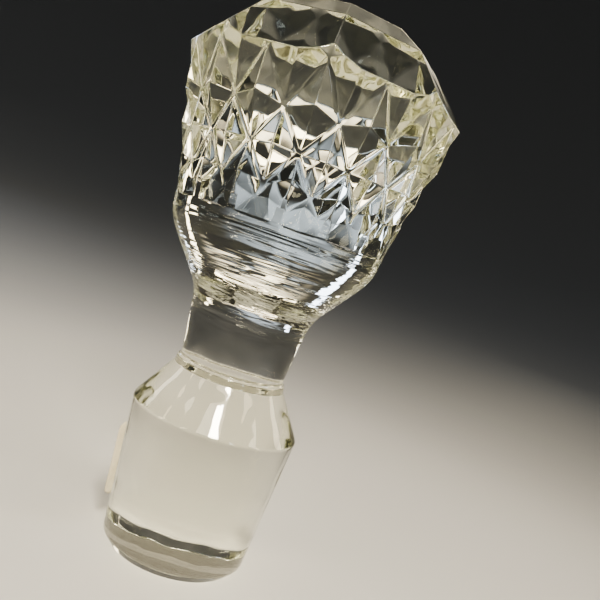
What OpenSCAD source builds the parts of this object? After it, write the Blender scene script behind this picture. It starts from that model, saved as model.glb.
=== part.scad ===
// Solid cut-crystal decanter stopper, standing on the flat foot of its plug.
// Z runs up the axis; the origin is the centre of the foot; one crown ridge faces -Y.

/* [Plug] */
// Radius of the flat polished foot
foot_r = 11.4; // [8:0.1:12]
// Radius where the foot's chamfer meets the ground taper
plug_low_r = 12.7; // [12.1:0.1:13.5]
// Height of the foot's chamfer
foot_chamfer_h = 1.5; // [0.5:0.1:2.5]
// Radius of the plug's wide top edge
plug_top_r = 14.7; // [13.8:0.1:16]
// Height of the plug's wide top edge
plug_h = 25.2; // [20:0.1:28]

/* [Neck] */
// Height where the conical shoulder ends at the neck
shoulder_top_h = 33.1; // [31:0.1:35]
// Radius of the neck just above its ring
neck_low_r = 9.2; // [8:0.1:9.4]
// Radius of the neck where the knob starts to flare
neck_top_r = 10.2; // [9:0.1:11]
// Height where the flare starts
flare_start_h = 43.2; // [40:0.1:45]
// Radius of the small rolled ring at the neck's foot
ring_r = 9.7; // [9.5:0.1:10.2]
// Height of the small rolled ring
ring_t = 0.8; // [0.5:0.1:1.2]

/* [Knob] */
// Radius of the plain band under the cutting
band_r = 18.3; // [17:0.1:19]
// Height where the flare has become the plain band
band_h = 58.7; // [56:0.1:60]
// Height where the plain band ends and the cutting starts
cutting_start_h = 62.2; // [61:0.1:63]
// How far the band's crisp upper edge stands out from the cutting
band_lip = 0.2; // [0.1:0.05:0.4]
// Radius of the knob at the start of the cutting
cutting_low_r = 18.8; // [18:0.1:20]
// Radius of the knob at the girdle, its widest place
girdle_r = 24.5; // [22:0.1:26]
// Height of the girdle
girdle_h = 83.8; // [81:0.1:85]

/* [Diamond cutting] */
// Number of diamonds round the knob
diamond_columns = 16; // [12:2:24]
// Depth of the largest cuts below the diamonds' points
cut_depth = 1.4; // [0.8:0.1:2.2]

/* [Crown] */
// Number of flat facets round the crown
crown_facets = 8; // [6:1:12]
// Lean of the crown's main facets from upright, in degrees
crown_lean = 41; // [36:1:46]
// Corner radius of the flat table on top
table_r = 12; // [9:0.5:13]
// Height of the small facets between the main facets and the table
table_bevel_h = 3.4; // [2:0.1:5]
// Overall height
overall_h = 95.2; // [93:0.1:99]

/* [Label] */
// Height of the adhesive paper label along the glass
label_h = 13.2; // [8:0.1:14]
// Height of the label's lower edge above the foot
label_z = 5.4; // [4:0.1:10]
// Direction, from +X, of the line where the label comes off the glass
label_edge_a = 161; // [120:0.1:240]
// Angle of glass that the stuck part of the label covers
label_wrap = 42; // [20:1:50]
// Length of the edge that has lifted off the glass
label_lift = 5.2; // [1:0.1:6]
// Thickness of the label with its glue
label_t = 0.2; // [0.1:0.05:0.3]

/* [Hidden] */
$fn = 96;

taper_slope = (plug_top_r - plug_low_r) / (plug_h - foot_chamfer_h);
taper_angle = atan(taper_slope);
function plug_r(z) = plug_low_r + taper_slope * (z - foot_chamfer_h);

// The flare is an S-curve from the neck to the plain band.
flare_steps = 20;
function ease(u) = 3 * u * u - 2 * u * u * u;
flare = [for (i = [0 : flare_steps]) let (u = i / flare_steps)
    [neck_top_r + (band_r - neck_top_r) * ease(u),
     flare_start_h + (band_h - flare_start_h) * u]];

// Cuts cross at these shares of the height from the plain band to the girdle. The diamonds
// grow with the knob. The last level is above the girdle, where the crown cuts it away.
level_share = [0, 0.13, 0.38, 0.64, 1, 1.6];
level_count = len(level_share);
pitch = 360 / diamond_columns;
cutting_h = girdle_h - cutting_start_h;
function level_z(i) = cutting_start_h + cutting_h * level_share[i];
function knob_r(z) = cutting_low_r
    + (girdle_r - cutting_low_r) * min(1, (z - cutting_start_h) / cutting_h);
// Cuts run out at the band and have their full depth from the second level up.
full_depth_level = 2;
function depth_at(i) = cut_depth * min(1, i / full_depth_level);
// Even levels have a crossing at -Y, and odd levels are turned by half a column.
function column_a(i, c) = -90 + pitch * (c + (i % 2) / 2);

function ring_point(r, a, z) = [r * cos(a), r * sin(a), z];
function crossing(i, c) = ring_point(knob_r(level_z(i)) - depth_at(i), column_a(i, c), level_z(i));
// A diamond's point is on the knob's full radius, between the crossings above and below.
function diamond_point(i, c) = let (z = (level_z(i - 1) + level_z(i + 1)) / 2)
    ring_point(knob_r(z), column_a(i + 1, pole_c(i, c)), z);

// Vertices: all crossings level by level, then all diamond points, then the two end centres.
crossings = [for (i = [0 : level_count - 1], c = [0 : diamond_columns - 1]) crossing(i, c)];
points = [for (i = [1 : level_count - 2], c = [0 : diamond_columns - 1]) diamond_point(i, c)];
function wrap(c) = (c + diamond_columns) % diamond_columns;
function x_id(i, c) = i * diamond_columns + wrap(c);
function p_id(i, c) = len(crossings) + (i - 1) * diamond_columns + wrap(c);
low_id = len(crossings) + len(points);
high_id = low_id + 1;

// Column number of the crossing right over or under diamond c of level i.
function pole_c(i, c) = c + i % 2;

module diamond_knob() {
    last = level_count - 1;
    diamonds = [for (i = [1 : last - 1], c = [0 : diamond_columns - 1])
        each [
            [p_id(i, c), x_id(i + 1, pole_c(i, c)), x_id(i, c + 1)],
            [p_id(i, c), x_id(i, c + 1), x_id(i - 1, pole_c(i, c))],
            [p_id(i, c), x_id(i - 1, pole_c(i, c)), x_id(i, c)],
            [p_id(i, c), x_id(i, c), x_id(i + 1, pole_c(i, c))]]];
    low_end = [for (c = [0 : diamond_columns - 1]) each [
        [x_id(0, c), x_id(1, c), x_id(0, c + 1)],
        [low_id, x_id(0, c), x_id(0, c + 1)]]];
    high_end = [for (c = [0 : diamond_columns - 1]) each [
        [x_id(last, c), x_id(last, c + 1), x_id(last - 1, c + 1)],
        [high_id, x_id(last, c + 1), x_id(last, c)]]];
    polyhedron(
        points = concat(crossings, points,
            [[0, 0, level_z(0)], [0, 0, level_z(last)]]),
        faces = concat(diamonds, low_end, high_end),
        convexity = 6);
}

// Space outside one flat of the crown: a half-space whose plane stands mid_r from the axis
// at height z and leans inwards by lean.
module flat_cut(a, mid_r, z, lean) {
    side = 4 * girdle_r;
    rotate([0, 0, a]) translate([mid_r, 0, z]) rotate([0, -lean, 0])
        translate([0, -side / 2, -side / 2]) cube(side);
}

// The main facets just reach the cuts' crossings at the girdle. Small facets join them to
// the table.
table_mid_r = table_r * cos(180 / crown_facets);
girdle_cut_r = girdle_r - cut_depth;
bevel_z = overall_h - table_bevel_h;
bevel_mid_r = girdle_cut_r - (bevel_z - girdle_h) * tan(crown_lean);
bevel_lean = atan((bevel_mid_r - table_mid_r) / table_bevel_h);
module crown_cuts() {
    for (f = [0 : crown_facets - 1]) {
        a = -90 + (f + 0.5) * 360 / crown_facets;
        flat_cut(a, girdle_cut_r, girdle_h, crown_lean);
        flat_cut(a, table_mid_r, overall_h, bevel_lean);
    }
    translate([0, 0, overall_h]) cylinder(h = overall_h, r = 2 * girdle_r);
}

// Everything that is round: foot, plug, shoulder, ring, neck, flare and plain band. Its flat
// top lies inside the knob.
module turned_body() {
    band_top_h = cutting_start_h + band_lip;
    rotate_extrude() polygon(concat(
        [[0, 0], [foot_r, 0], [plug_low_r, foot_chamfer_h], [plug_top_r, plug_h],
         [ring_r, shoulder_top_h], [ring_r, shoulder_top_h + ring_t],
         [neck_low_r, shoulder_top_h + 1.5 * ring_t]],
        flare,
        [[cutting_low_r + band_lip, band_top_h], [0, band_top_h]]));
}

module crystal_stopper() {
    color("gainsboro", 0.5) difference() {
        union() {
            turned_body();
            diamond_knob();
        }
        crown_cuts();
    }
}

// The label is stuck round the plug's left and back. Its front edge has come off the glass
// and stays straight where the glass curves away.
module paper_label() {
    low_z = label_z;
    high_z = label_z + label_h * cos(taper_angle);
    color("ivory") {
        rotate([0, 0, label_edge_a - label_wrap]) rotate_extrude(angle = label_wrap) polygon([
            [plug_r(low_z), low_z], [plug_r(low_z) + label_t, low_z],
            [plug_r(high_z) + label_t, high_z], [plug_r(high_z), high_z]]);
        rotate([0, 0, label_edge_a]) translate([plug_r(low_z), -label_t, low_z])
            rotate([0, taper_angle, 0]) cube([label_t, label_lift, label_h]);
    }
}

crystal_stopper();
paper_label();
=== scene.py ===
import math

import bmesh
import bpy
from mathutils import Matrix, Vector, noise


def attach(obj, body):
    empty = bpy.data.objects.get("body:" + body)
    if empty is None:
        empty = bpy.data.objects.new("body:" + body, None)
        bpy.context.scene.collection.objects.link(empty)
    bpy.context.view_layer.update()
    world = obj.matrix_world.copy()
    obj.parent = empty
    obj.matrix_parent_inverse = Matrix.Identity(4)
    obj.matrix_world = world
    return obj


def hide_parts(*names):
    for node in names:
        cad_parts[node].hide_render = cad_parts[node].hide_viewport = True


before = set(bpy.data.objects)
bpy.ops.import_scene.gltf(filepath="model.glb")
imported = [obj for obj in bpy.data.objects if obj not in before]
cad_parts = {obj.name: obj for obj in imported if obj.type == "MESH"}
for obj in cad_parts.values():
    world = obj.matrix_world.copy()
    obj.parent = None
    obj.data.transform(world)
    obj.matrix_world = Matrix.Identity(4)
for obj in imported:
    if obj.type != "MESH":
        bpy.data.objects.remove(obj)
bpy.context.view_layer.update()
mm = 0.001  # the values below are in millimetres and degrees
scene = bpy.context.scene


def srgb(hexColour):
    channels = [int(hexColour[i:i + 2], 16) / 255 for i in (0, 2, 4)]
    linear = [c / 12.92 if c <= 0.04045 else ((c + 0.055) / 1.055) ** 2.4 for c in channels]
    return (*linear, 1.0)


# A shader node of a material or a lamp. Its sockets go by name, or by number where two share
# a name, and a setting that is no socket is a property of the node.
def addNode(owner, kind, settings=None, links=None):
    node = owner.node_tree.nodes.new(kind)
    for name, value in (settings or {}).items():
        if isinstance(name, int) or name in node.inputs:
            node.inputs[name].default_value = value
        else:
            setattr(node, name, value)
    for name, source in (links or {}).items():
        owner.node_tree.links.new(source, node.inputs[name])
    return node


def newMaterial(name):
    material = bpy.data.materials.new(name)
    material.use_nodes = True
    material.node_tree.nodes.clear()
    return material


def newPiece(name, mesh, material):
    piece = bpy.data.objects.new(name, mesh)
    scene.collection.objects.link(piece)
    mesh.materials.append(material)
    return piece


# From 0 to 1 with a soft start and end.
def ease(u):
    u = min(1.0, max(0.0, u))
    return u * u * (3 - 2 * u)


def ringPoint(radius, angle, height):
    return Vector((radius * math.cos(angle), radius * math.sin(angle), height)) * mm


# Lead crystal, cut and acid-polished: very clear and bright, with a faint straw tint
# where it is thick. Its faces are never quite flat, so what shows in them swims, and the
# polish leaves faint level lines.
def leadCrystal(s):
    material = newMaterial("lead crystal")
    place = addNode(material, "ShaderNodeTexCoord")
    swells = addNode(material, "ShaderNodeTexNoise",
                     {"Scale": 1 / (s["swell"] * mm), "Detail": 1.0},
                     {"Vector": place.outputs["Object"]})
    uneven = addNode(material, "ShaderNodeBump",
                     {"Strength": 1.0, "Distance": s["swellDepth"] * mm},
                     {"Height": swells.outputs["Fac"]})
    level = addNode(material, "ShaderNodeMapping",
                    {"Scale": (s["lineSquash"], s["lineSquash"], 1.0)},
                    {"Vector": place.outputs["Object"]})
    lines = addNode(material, "ShaderNodeTexNoise",
                    {"Scale": 1 / (s["line"] * mm), "Detail": 3.0},
                    {"Vector": level.outputs["Vector"]})
    polish = addNode(material, "ShaderNodeBump",
                     {"Strength": 1.0, "Distance": s["lineDepth"] * mm},
                     {"Height": lines.outputs["Fac"], "Normal": uneven.outputs["Normal"]})
    glass = addNode(material, "ShaderNodeBsdfPrincipled",
                    {"Base Color": srgb(s["clear"]), "Roughness": 0.0, "IOR": s["ior"],
                     "Transmission Weight": 1.0}, {"Normal": polish.outputs["Normal"]})
    depth = addNode(material, "ShaderNodeVolumeAbsorption",
                    {"Color": srgb(s["straw"]), "Density": s["density"]})
    # most of the lamps' light goes on through the glass to the paper under it
    ray = addNode(material, "ShaderNodeLightPath")
    passing = addNode(material, "ShaderNodeMath", {"operation": "MULTIPLY", 1: s["passing"]},
                      {0: ray.outputs["Is Shadow Ray"]})
    clear = addNode(material, "ShaderNodeBsdfTransparent")
    surface = addNode(material, "ShaderNodeMixShader", None,
                      {0: passing.outputs["Value"], 1: glass.outputs["BSDF"],
                       2: clear.outputs["BSDF"]})
    addNode(material, "ShaderNodeOutputMaterial", None,
            {"Surface": surface.outputs["Shader"], "Volume": depth.outputs["Volume"]})
    return material


# Uncoated label paper: matt and creamy, with short fibres and a little yellowing.
def labelPaper(s):
    material = newMaterial("uncoated paper")
    place = addNode(material, "ShaderNodeTexCoord")
    fibre = addNode(material, "ShaderNodeTexNoise",
                    {"Scale": 1 / (s["fibre"] * mm), "Detail": 6.0, "Roughness": 0.7},
                    {"Vector": place.outputs["Object"]})
    age = addNode(material, "ShaderNodeTexNoise",
                  {"Scale": 1 / (s["patch"] * mm), "Detail": 2.0}, {"Vector": place.outputs["Object"]})
    tone = addNode(material, "ShaderNodeValToRGB", None, {"Fac": age.outputs["Fac"]})
    tone.color_ramp.elements[0].color = srgb(s["aged"])
    tone.color_ramp.elements[1].color = srgb(s["fresh"])
    relief = addNode(material, "ShaderNodeBump", {"Strength": 0.6, "Distance": s["fibreDepth"] * mm},
                     {"Height": fibre.outputs["Fac"]})
    paper = addNode(material, "ShaderNodeBsdfPrincipled", {"Roughness": 0.85, "IOR": 1.5},
                    {"Base Color": tone.outputs["Color"], "Normal": relief.outputs["Normal"]})
    addNode(material, "ShaderNodeOutputMaterial", None, {"Surface": paper.outputs["BSDF"]})
    return material


# Background paper, matt: pale where the stopper stands, with painted shade that darkens it outwards,
# as if the light fell off away from the stopper.
def paperWithPaintedShade(s):
    material = newMaterial("paper with painted shade")
    place = addNode(material, "ShaderNodeTexCoord")
    level = addNode(material, "ShaderNodeMapping", {"Scale": (1, 1, 0)},
                    {"Vector": place.outputs["Object"]})
    away = addNode(material, "ShaderNodeVectorMath", {"operation": "LENGTH"},
                   {"Vector": level.outputs["Vector"]})
    outward = addNode(material, "ShaderNodeMapRange",
                      {"From Min": s["paleTo"] * mm, "From Max": s["paintedShadeFrom"] * mm},
                      {"Value": away.outputs["Value"]})
    # painted shade: the tone runs from the pale paper out to a dark painted shade
    tone = addNode(material, "ShaderNodeValToRGB", None, {"Fac": outward.outputs["Result"]})
    tone.color_ramp.interpolation = "EASE"
    tone.color_ramp.elements[0].color = srgb(s["pale"])
    tone.color_ramp.elements[1].color = srgb(s["paintedShade"])
    paper = addNode(material, "ShaderNodeBsdfPrincipled", {"Roughness": 0.9},
                    {"Base Color": tone.outputs["Color"]})
    addNode(material, "ShaderNodeOutputMaterial", None, {"Surface": paper.outputs["BSDF"]})
    return material


stopper = {
    # the turned body, from the foot up
    "footRadius": 11.4, "chamferRadius": 12.7, "chamferHeight": 1.5,
    "plugRadius": 14.7, "plugHeight": 25.2, "shoulderHeight": 33.1,
    "ringRadius": 9.7, "ringThick": 0.8, "ringSwell": 0.1, "ringRise": 0.2,
    "coveSwell": 0.15, "coveDrop": 0.25,  # the small hollow where the shoulder meets the ring
    "neckLow": 9.2, "neckTop": 10.2, "flareStart": 43.2, "bandRadius": 18.3, "bandHeight": 58.7,
    "round": {"foot": 0.25, "chamfer": 0.3, "plug": 0.35, "cove": 0.2, "ringFoot": 0.15,
              "ringTop": 0.35, "neck": 0.3},
    # the cut knob and its crown
    "cutStart": 62.2, "cutLowRadius": 18.8, "girdleRadius": 24.5, "girdleHeight": 83.8,
    "columns": 16, "cutDepth": 1.4, "levelShare": [0, 0.13, 0.38, 0.64, 1, 1.6],
    "crownFacets": 8, "crownLean": 41, "tableRadius": 12, "tableBevel": 3.4, "height": 95.2,
    "runOut": 2.6, "runOutRadius": 18.62,  # the lowest cuts run down into the plain band
    "pointShift": 0.9, "pointSpacing": 3.1, "pointDrop": 0.1,  # hand cutting is never even
    "grooveRound": 0.5,  # half the width of a cut's rounded bottom
    "ridgeShare": 0.36,  # the ridges between cuts are this much sharper
    "flatBend": 0.5, "leastBend": 3, "sharpBend": 32,  # below these: one flat, no bevel, smooth
    # the blank that is cut, and the net that cuts it
    "blankSpare": 0.05,  # how far the blank stands outside the diamonds' points
    "blankRise": 1, "collarWidth": 5, "collarDrop": 1, "segments": 224, "plainStep": 1.5,
    # fine rings from the turning, and long shallow waves on the ground plug
    "rowStep": 0.15, "rippleDepth": 0.042, "rippleSpacing": 0.42, "rippleLength": 6,
    "rippleLead": 3, "rippleIn": 5, "rippleOut": 1.5, "rippleEnd": 0.5, "rippleCoarse": 0.4,
    "waveDepth": 0.05, "waveSpacing": 2.6, "waveLength": 30, "waveFade": 1.5,
    # the glass
    "clear": "FFFEFA", "straw": "EDEFD3", "density": 11, "ior": 1.545, "passing": 0.82,
    "swell": 6.5, "swellDepth": 0.25, "line": 0.16, "lineSquash": 0.12, "lineDepth": 0.0008,
}


# Corner points (radius, height, rounding) become short arcs joined by straight lines.
def roundedOutline(corners, arcSteps=5):
    outline = []
    for index, (radius, height, rounding) in enumerate(corners):
        here = Vector((radius, height))
        if rounding == 0 or index in (0, len(corners) - 1):
            outline.append(here)
            continue
        before = Vector(corners[index - 1][:2]) - here
        after = Vector(corners[index + 1][:2]) - here
        start = here + before.normalized() * min(rounding, before.length / 2)
        end = here + after.normalized() * min(rounding, after.length / 2)
        for step in range(arcSteps + 1):
            u = step / arcSteps
            outline.append(start * (1 - u) ** 2 + here * 2 * u * (1 - u) + end * u ** 2)
    return outline


# Long straights are split into rows, so that they can carry ripples.
def splitRows(outline, step):
    rows = [outline[0]]
    for start, end in zip(outline, outline[1:]):
        count = max(1, math.ceil((end - start).length / step))
        rows += [start.lerp(end, i / count) for i in range(1, count + 1)]
    return rows


def turnedOutline(s):
    rounding = s["round"]
    ringTop = s["shoulderHeight"] + s["ringThick"]
    corners = [
        (0, 0, 0),
        (s["footRadius"], 0, rounding["foot"]),
        (s["chamferRadius"], s["chamferHeight"], rounding["chamfer"]),
        (s["plugRadius"], s["plugHeight"], rounding["plug"]),
        (s["ringRadius"] + s["coveSwell"], s["shoulderHeight"] - s["coveDrop"], rounding["cove"]),
        (s["ringRadius"] + s["ringSwell"], s["shoulderHeight"] + s["ringRise"],
         rounding["ringFoot"]),
        (s["ringRadius"], ringTop, rounding["ringTop"]),
        (s["neckLow"], ringTop + s["ringThick"] / 2, rounding["neck"]),
        (s["neckTop"], s["flareStart"], 0)]
    outline = roundedOutline(corners)
    span = s["bandHeight"] - s["flareStart"]
    flareRows = round(span / s["rowStep"])
    for row in range(1, flareRows + 1):
        u = row / flareRows
        outline.append(Vector((s["neckTop"] + (s["bandRadius"] - s["neckTop"]) * ease(u),
                               s["flareStart"] + span * u)))
    blankTop = s["height"] + s["blankRise"]
    outline += [Vector((s["cutLowRadius"] + s["blankSpare"], s["cutStart"])),
                Vector((s["girdleRadius"] + s["blankSpare"], s["girdleHeight"])),
                Vector((s["girdleRadius"] + s["blankSpare"], blankTop)), Vector((0, blankTop))]
    return outline


# Fine wavy rings that the turning left on the neck, the flare and the plain band, and on
# the ground plug the opposite: shallow waves that run from its foot to its shoulder.
def ripple(s, angle, height):
    onFlare = (ease((height - s["flareStart"] + s["rippleLead"]) / s["rippleIn"])
               * ease((s["cutStart"] - s["rippleEnd"] - height) / s["rippleOut"]))
    onPlug = (ease((height - s["chamferHeight"]) / s["waveFade"])
              * ease((s["plugHeight"] - height) / s["waveFade"]))
    if onFlare + onPlug == 0:
        return 0.0
    around = Vector((math.cos(angle), math.sin(angle), 0)) * s["bandRadius"]
    rings = around / s["rippleLength"] + Vector((0, 0, height / s["rippleSpacing"]))
    waves = around / s["waveSpacing"] + Vector((0, 0, height / s["waveLength"]))
    relief = noise.noise(rings) + noise.noise(rings * s["rippleCoarse"])
    return onFlare * s["rippleDepth"] * relief + onPlug * s["waveDepth"] * noise.noise(waves)


def turnedMesh(s):
    rows = splitRows(turnedOutline(s), s["plainStep"])
    fine = []
    for start, end in zip(rows, rows[1:]):
        inRipples = s["flareStart"] - s["rippleLead"] < end.y < s["cutStart"]
        count = max(1, math.ceil((end - start).length / s["rowStep"])) if inRipples else 1
        fine += [start.lerp(end, i / count) for i in range(count)]
    fine.append(rows[-1])
    mesh = bmesh.new()
    low = mesh.verts.new(Vector((0, 0, fine[0].y)) * mm)
    high = mesh.verts.new(Vector((0, 0, fine[-1].y)) * mm)
    rings = []
    for point in fine[1:-1]:
        ring = []
        for i in range(s["segments"]):
            angle = 2 * math.pi * i / s["segments"]
            radius = point.x + ripple(s, angle, point.y)
            ring.append(mesh.verts.new(ringPoint(radius, angle, point.y)))
        rings.append(ring)
    for lower, upper in zip(rings, rings[1:]):
        for i in range(s["segments"]):
            j = (i + 1) % s["segments"]
            mesh.faces.new((lower[i], lower[j], upper[j], upper[i]))
    for i in range(s["segments"]):
        j = (i + 1) % s["segments"]
        mesh.faces.new((low, rings[0][j], rings[0][i]))
        mesh.faces.new((high, rings[-1][i], rings[-1][j]))
    return mesh


# The diamond net: cuts cross at each level, turned by half a column from level to level,
# and each diamond rises to a point between its four crossings.
def diamondNet(s):
    cutHeight = s["girdleHeight"] - s["cutStart"]
    levels = [s["cutStart"] + cutHeight * share for share in s["levelShare"]]
    last = len(levels) - 1
    pitch = 2 * math.pi / s["columns"]

    def knobRadius(height):
        u = min(1, (height - s["cutStart"]) / cutHeight)
        return s["cutLowRadius"] + (s["girdleRadius"] - s["cutLowRadius"]) * u

    mesh = bmesh.new()
    crossings = []
    for level, height in enumerate(levels):
        radius = knobRadius(height) - s["cutDepth"] * min(1, level / 2)  # full from level 2
        if level == 0:
            height, radius = height - s["runOut"], s["runOutRadius"]
        crossings.append([
            mesh.verts.new(ringPoint(radius, -math.pi / 2 + pitch * (c + level % 2 / 2), height))
            for c in range(s["columns"])])
    for level in range(1, last):
        middle = (levels[level - 1] + levels[level + 1]) / 2
        for c in range(s["columns"]):
            right = (c + 1) % s["columns"]
            pole = (c + level % 2) % s["columns"]
            angle = -math.pi / 2 + pitch * (c + (1 + level % 2) / 2)
            spot = ringPoint(s["girdleRadius"], angle, middle) / (s["pointSpacing"] * mm)
            along = noise.noise(spot) * s["pointShift"]
            height = middle + noise.noise(-spot) * s["pointShift"]
            radius = knobRadius(height) - s["pointDrop"]
            point = mesh.verts.new(ringPoint(radius, angle + along / radius, height))
            rim = [crossings[level + 1][pole], crossings[level][right],
                   crossings[level - 1][pole], crossings[level][c]]
            for start, end in zip(rim, rim[1:] + rim[:1]):
                mesh.faces.new((point, end, start))
    # below the cuts the net only has to clear the blank
    wide = s["girdleRadius"] + s["collarWidth"]
    collarTop = levels[0] - s["runOut"] - s["collarDrop"]
    collar = [[mesh.verts.new(ringPoint(wide, -math.pi / 2 + pitch * c, height))
               for c in range(s["columns"])] for height in (-s["collarWidth"], collarTop)]
    for c in range(s["columns"]):
        right = (c + 1) % s["columns"]
        mesh.faces.new((crossings[0][c], crossings[0][right], crossings[1][c]))
        mesh.faces.new((collar[1][c], collar[1][right], crossings[0][right], crossings[0][c]))
        mesh.faces.new((collar[0][c], collar[0][right], collar[1][right], collar[1][c]))
        mesh.faces.new((crossings[last][right], crossings[last][c], crossings[last - 1][right]))
    mesh.faces.new(list(reversed(collar[0])))
    mesh.faces.new(crossings[last])
    return mesh


# Planes grind the crown: main facets, small facets round the table, then the table.
def cutCrown(mesh, s):
    tableMid = s["tableRadius"] * math.cos(math.pi / s["crownFacets"])
    girdleCut = s["girdleRadius"] - s["cutDepth"]
    bevelZ = s["height"] - s["tableBevel"]
    bevelMid = girdleCut - (bevelZ - s["girdleHeight"]) * math.tan(math.radians(s["crownLean"]))
    bevelLean = math.atan2(bevelMid - tableMid, s["tableBevel"])
    flats = []
    for facet in range(s["crownFacets"]):
        angle = -math.pi / 2 + (facet + 0.5) * 2 * math.pi / s["crownFacets"]
        for radius, height, lean in ((girdleCut, s["girdleHeight"], math.radians(s["crownLean"])),
                                     (tableMid, s["height"], bevelLean)):
            outward = Vector((math.cos(angle) * math.cos(lean), math.sin(angle) * math.cos(lean),
                              math.sin(lean)))
            flats.append((ringPoint(radius, angle, height), outward))
    flats.append((Vector((0, 0, s["height"] * mm)), Vector((0, 0, 1))))
    for point, outward in flats:
        everything = mesh.verts[:] + mesh.edges[:] + mesh.faces[:]
        bmesh.ops.bisect_plane(mesh, geom=everything, plane_co=point, plane_no=outward,
                               clear_outer=True, dist=1e-7)
        rim = [edge for edge in mesh.edges if edge.is_boundary]
        bmesh.ops.holes_fill(mesh, edges=rim, sides=0)
    bmesh.ops.dissolve_limit(mesh, angle_limit=math.radians(s["flatBend"]), verts=mesh.verts[:],
                             edges=mesh.edges[:])
    bmesh.ops.recalc_face_normals(mesh, faces=mesh.faces[:])
    weight = mesh.edges.layers.float.new("bevel_weight_edge")
    cutsEnd = (s["cutStart"] - s["runOut"] - s["collarDrop"] / 2) * mm
    for edge in mesh.edges:
        bend = edge.calc_face_angle_signed()  # negative along the bottom of a cut
        lowest = min(vert.co.z for vert in edge.verts)
        if abs(bend) > math.radians(s["leastBend"]) and lowest > cutsEnd:
            edge[weight] = 1.0 if bend < 0 else s["ridgeShare"]


def toMesh(mesh, name):
    bmesh.ops.recalc_face_normals(mesh, faces=mesh.faces[:])
    data = bpy.data.meshes.new(name)
    mesh.to_mesh(data)
    mesh.free()
    return data


def applyModifiers(piece):
    graph = bpy.context.evaluated_depsgraph_get()
    shaped = bpy.data.meshes.new_from_object(piece.evaluated_get(graph))
    piece.modifiers.clear()
    piece.data = shaped


# The net, crowned and softened, is what the turned body keeps: where both are, there is glass.
def makeStopper(s):
    crystal = leadCrystal(s)
    knobNet = diamondNet(s)
    cutCrown(knobNet, s)
    knob = newPiece("knobBlank", toMesh(knobNet, "knobBlank"), crystal)
    bevel = knob.modifiers.new("acid polish", "BEVEL")
    bevel.width = s["grooveRound"] * mm
    bevel.segments = 3
    bevel.limit_method = "WEIGHT"
    bevel.use_clamp_overlap = True
    applyModifiers(knob)
    body = newPiece("crystalStopper", toMesh(turnedMesh(s), "crystalStopper"), crystal)
    join = body.modifiers.new("one piece of glass", "BOOLEAN")
    join.operation = "INTERSECT"
    join.solver = "EXACT"
    join.object = knob
    applyModifiers(body)
    bpy.data.objects.remove(knob)
    for face in body.data.polygons:
        face.use_smooth = True
    body.data.set_sharp_from_angle(angle=math.radians(s["sharpBend"]))
    shade = body.modifiers.new("flat facets, soft edges", "WEIGHTED_NORMAL")
    shade.mode = "FACE_AREA"
    shade.keep_sharp = True
    applyModifiers(body)
    print("stopper made,", len(body.data.vertices), "points")
    return body


label = {
    "height": 13.2, "low": 5.4, "edge": 161, "wrap": 42,
    "lift": 5.2, "curl": 0.15,  # how much of it stands off the glass, and how far that bends
    "thick": 0.14, "gap": 0.03, "corner": 1.2, "rowsUp": 24, "rowsRound": 40,
    "fibre": 0.25, "fibreDepth": 0.03, "patch": 5, "aged": "DDD2B4", "fresh": "F1EADA",
}


# Two sheets of points, against the glass and a paper's thickness out, closed round their rims.
def makeLabel(s, glass):
    slope = (glass["plugRadius"] - glass["chamferRadius"]) / (
        glass["plugHeight"] - glass["chamferHeight"])
    up = Vector((slope, 1.0)).normalized()
    stuck = math.radians(s["wrap"]) * glass["chamferRadius"]
    width = stuck + s["lift"]
    mesh = bmesh.new()
    sheets = []
    for side in (0, 1):
        grid = []
        for row in range(s["rowsUp"] + 1):
            v = row / s["rowsUp"]
            line = []
            for column in range(s["rowsRound"] + 1):
                u = column / s["rowsRound"]
                # rounded corners: rows near the top and bottom are shorter
                intoCorner = max(0.0, s["corner"] - s["height"] * min(v, 1 - v))
                inset = s["corner"] - math.sqrt(s["corner"] ** 2 - intoCorner ** 2)
                along = inset + (width - 2 * inset) * u
                height = s["low"] + s["height"] * v * up.y
                radius = glass["chamferRadius"] + slope * (height - glass["chamferHeight"])
                out = s["gap"] + s["thick"] * side
                start = math.radians(s["edge"] - s["wrap"])
                if along <= stuck:
                    angle = start + along / glass["chamferRadius"]
                    point = ringPoint(radius + out, angle, height)
                else:
                    angle = math.radians(s["edge"])
                    free = along - stuck
                    curl = s["curl"] * (free / s["lift"]) ** 2
                    base = ringPoint(radius + out + curl, angle, height)
                    tangent = Vector((-math.sin(angle), math.cos(angle), 0))
                    point = base + tangent * free * mm
                line.append(mesh.verts.new(point))
            grid.append(line)
        sheets.append(grid)
    for side, grid in enumerate(sheets):
        for lower, upper in zip(grid, grid[1:]):
            for i in range(s["rowsRound"]):
                quad = (lower[i], lower[i + 1], upper[i + 1], upper[i])
                mesh.faces.new(quad if side else tuple(reversed(quad)))
    inner, outer = sheets

    def rimOf(grid):
        bottom = grid[0]
        right = [line[-1] for line in grid[1:]]
        top = list(reversed(grid[-1]))[1:]
        left = [line[0] for line in reversed(grid)][1:-1]
        return bottom + right + top + left

    innerRim, outerRim = rimOf(inner), rimOf(outer)
    for i in range(len(innerRim)):
        j = (i + 1) % len(innerRim)
        mesh.faces.new((innerRim[i], innerRim[j], outerRim[j], outerRim[i]))
    piece = newPiece("paperLabel", toMesh(mesh, "paperLabel"), labelPaper(s))
    for face in piece.data.polygons:
        face.use_smooth = True
    return piece


glassPiece = makeStopper(stopper)
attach(glassPiece, "root")
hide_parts("crystal_stopper")

labelPiece = makeLabel(label, stopper)
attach(labelPiece, "root")
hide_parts("paper_label")
print("label made")


sweep = {
    "flat": 180, "bend": 340, "wall": 900, "segments": 96, "bendSteps": 24,
    # the paper's tone darkens outwards between these radii: painted shade
    "paleTo": 90, "paintedShadeFrom": 370, "pale": "DAD8D3", "paintedShade": "696E75",
}


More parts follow.
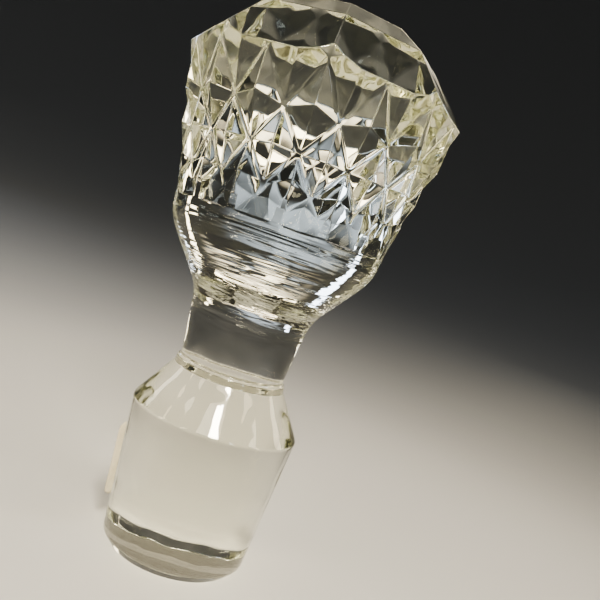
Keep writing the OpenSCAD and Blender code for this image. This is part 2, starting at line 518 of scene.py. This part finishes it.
def makeSweep(s):
    outline = [Vector((0.0, 0.0)), Vector((s["flat"], 0.0))]
    for step in range(1, s["bendSteps"] + 1):
        turn = math.pi / 2 * step / s["bendSteps"]
        outline.append(Vector((s["flat"] + s["bend"] * math.sin(turn),
                               s["bend"] * (1 - math.cos(turn)))))
    outline.append(Vector((s["flat"] + s["bend"], s["wall"])))
    mesh = bmesh.new()
    centre = mesh.verts.new((0, 0, 0))
    rings = [[mesh.verts.new(ringPoint(p.x, 2 * math.pi * i / s["segments"], p.y))
              for i in range(s["segments"])] for p in outline[1:]]
    for i in range(s["segments"]):
        j = (i + 1) % s["segments"]
        mesh.faces.new((centre, rings[0][i], rings[0][j]))
        for lower, upper in zip(rings, rings[1:]):
            mesh.faces.new((lower[i], upper[i], upper[j], lower[j]))
    data = bpy.data.meshes.new("studioSweep")
    mesh.to_mesh(data)
    mesh.free()
    for face in data.polygons:
        face.use_smooth = True
    return newPiece("studioSweep", data, paperWithPaintedShade(s))


makeSweep(sweep)


# A lamp whose light falls away from its middle to nothing at its rim.
def fadeLamp(lamp, core):
    lamp.use_nodes = True
    lamp.node_tree.nodes.clear()
    place = addNode(lamp, "ShaderNodeNewGeometry")
    middle = addNode(lamp, "ShaderNodeMapping", {"Location": (-0.5, -0.5, 0)},
                     {"Vector": place.outputs["Parametric"]})
    away = addNode(lamp, "ShaderNodeVectorMath", {"operation": "LENGTH"},
                   {"Vector": middle.outputs["Vector"]})
    fade = addNode(lamp, "ShaderNodeMapRange",
                   {"interpolation_type": "SMOOTHSTEP", "From Min": core, "From Max": 0.5,
                    "To Min": 1.0, "To Max": 0.0}, {"Value": away.outputs["Value"]})
    glow = addNode(lamp, "ShaderNodeEmission", None, {"Strength": fade.outputs["Result"]})
    addNode(lamp, "ShaderNodeOutputLight", None, {"Surface": glow.outputs["Emission"]})


def softLight(name, azimuth, elevation, distance, size, radiance, colour):
    lamp = bpy.data.lights.new(name, "AREA")
    lamp.shape = "RECTANGLE"
    lamp.size, lamp.size_y = size[0] * mm, size[1] * mm
    lamp.energy = radiance * math.pi * lamp.size * lamp.size_y
    lamp.color = srgb(colour)[:3]
    holder = bpy.data.objects.new(name, lamp)
    scene.collection.objects.link(holder)
    a, e = math.radians(azimuth), math.radians(elevation)
    away = Vector((math.sin(a) * math.cos(e), -math.cos(a) * math.cos(e), math.sin(e)))
    aim = Vector((0, 0, stopper["height"] / 2)) * mm
    holder.location = aim + away * distance * mm
    holder.rotation_euler = away.to_track_quat("Z", "Y").to_euler()
    holder.visible_camera = False
    return holder


# Soft boxes stand all round with dark gaps between them, which is what shapes clear glass.
# Each has its azimuth, elevation, width, height and tone; the faded ones' radiance is before
# the tone.
lights = {
    "distance": 300, "radiance": 5.6,
    "boxes": {
        "side left": (-70, 18, 48, 170, "warm"), "side right": (70, 18, 44, 170, "plain"),
        "far left": (-108, 18, 40, 170, "plain"), "far right": (110, 18, 44, 170, "warm"),
        "front left": (-35, 22, 28, 165, "plain"), "front right": (35, 22, 28, 165, "cool"),
        "back left": (-147, 24, 26, 150, "cool"), "back right": (147, 20, 30, 165, "warm"),
        "high back": (180, 42, 200, 50, "warm"), "high front": (0, 44, 140, 45, "plain"),
        "high left": (-60, 44, 80, 45, "plain"), "high right": (60, 44, 80, 45, "warm"),
        "high back left": (-125, 44, 80, 45, "plain"), "high back right": (125, 44, 80, 45, "cool"),
    },
    # two wide ones behind: a dim bluish one, and a warm one above it
    "faded": {"sky": (188, 15, 285, 96, 1.1, "blue"), "ceiling": (180, 30, 260, 58, 2.9, "cream")},
    "core": 0.1,  # the share of a faded one's width that is evenly bright
    "top": (150, 150), "topElevation": 86, "topRadiance": 0.8,
    "key": (50, 50), "keyTurn": 8, "keyElevation": 42, "keyRadiance": 110.0,
    "warm": "FFF0D4", "plain": "FFF6E6", "cool": "DCE8FF", "blue": "D4E0F2", "cream": "FFF1D8",
}


def makeLights(s):
    for name, (turn, height, across, tall, tone) in s["boxes"].items():
        softLight(name, turn, height, s["distance"], (across, tall), s["radiance"], s[tone])
    for name, (turn, height, across, tall, radiance, tone) in s["faded"].items():
        lamp = softLight(name, turn, height, s["distance"], (across, tall), radiance, s[tone])
        fadeLamp(lamp.data, s["core"])
    softLight("overhead", 0, s["topElevation"], s["distance"], s["top"], s["topRadiance"],
              s["plain"])
    softLight("key", s["keyTurn"], s["keyElevation"], s["distance"], s["key"], s["keyRadiance"],
              s["plain"])


makeLights(lights)

room = {"colour": "6B6A66", "strength": 0.03}


def makeRoom(s):
    world = bpy.data.worlds.new("studio")
    world.use_nodes = True
    world.node_tree.nodes["Background"].inputs["Color"].default_value = srgb(s["colour"])
    world.node_tree.nodes["Background"].inputs["Strength"].default_value = s["strength"]
    return world


scene.world = makeRoom(room)

view = {
    "azimuth": -1.2, "elevation": 4.5, "roll": 18.9, "distance": 126, "side": 7.4, "height": 49.1,
    "lens": 43.8, "nearest": 5,
    "look": "AgX - High Contrast", "exposure": -0.45, "bounces": 24, "glossyBounces": 16,
}


def makeCamera(s):
    camera = bpy.data.objects.new("camera", bpy.data.cameras.new("camera"))
    scene.collection.objects.link(camera)
    camera.data.lens = s["lens"]
    camera.data.clip_start = s["nearest"] * mm
    a, e, roll = (math.radians(s[key]) for key in ("azimuth", "elevation", "roll"))
    back = Vector((math.sin(a) * math.cos(e), -math.cos(a) * math.cos(e), math.sin(e)))
    right = Vector((math.cos(a), math.sin(a), 0))
    up = back.cross(right)
    tiltedUp = up * math.cos(roll) - right * math.sin(roll)
    tiltedRight = up * math.sin(roll) + right * math.cos(roll)
    turn = Matrix((tiltedRight, tiltedUp, back)).transposed()
    place = (right * s["side"] + Vector((0, 0, s["height"])) + back * s["distance"]) * mm
    camera.matrix_world = Matrix.Translation(place) @ turn.to_4x4()
    return camera


scene.camera = makeCamera(view)

scene.view_settings.look = view["look"]
scene.view_settings.exposure = view["exposure"]
# light has to pass many faces before it is out of the glass again
scene.cycles.max_bounces = view["bounces"]
scene.cycles.transmission_bounces = view["bounces"]
scene.cycles.glossy_bounces = view["glossyBounces"]
print("studio made")
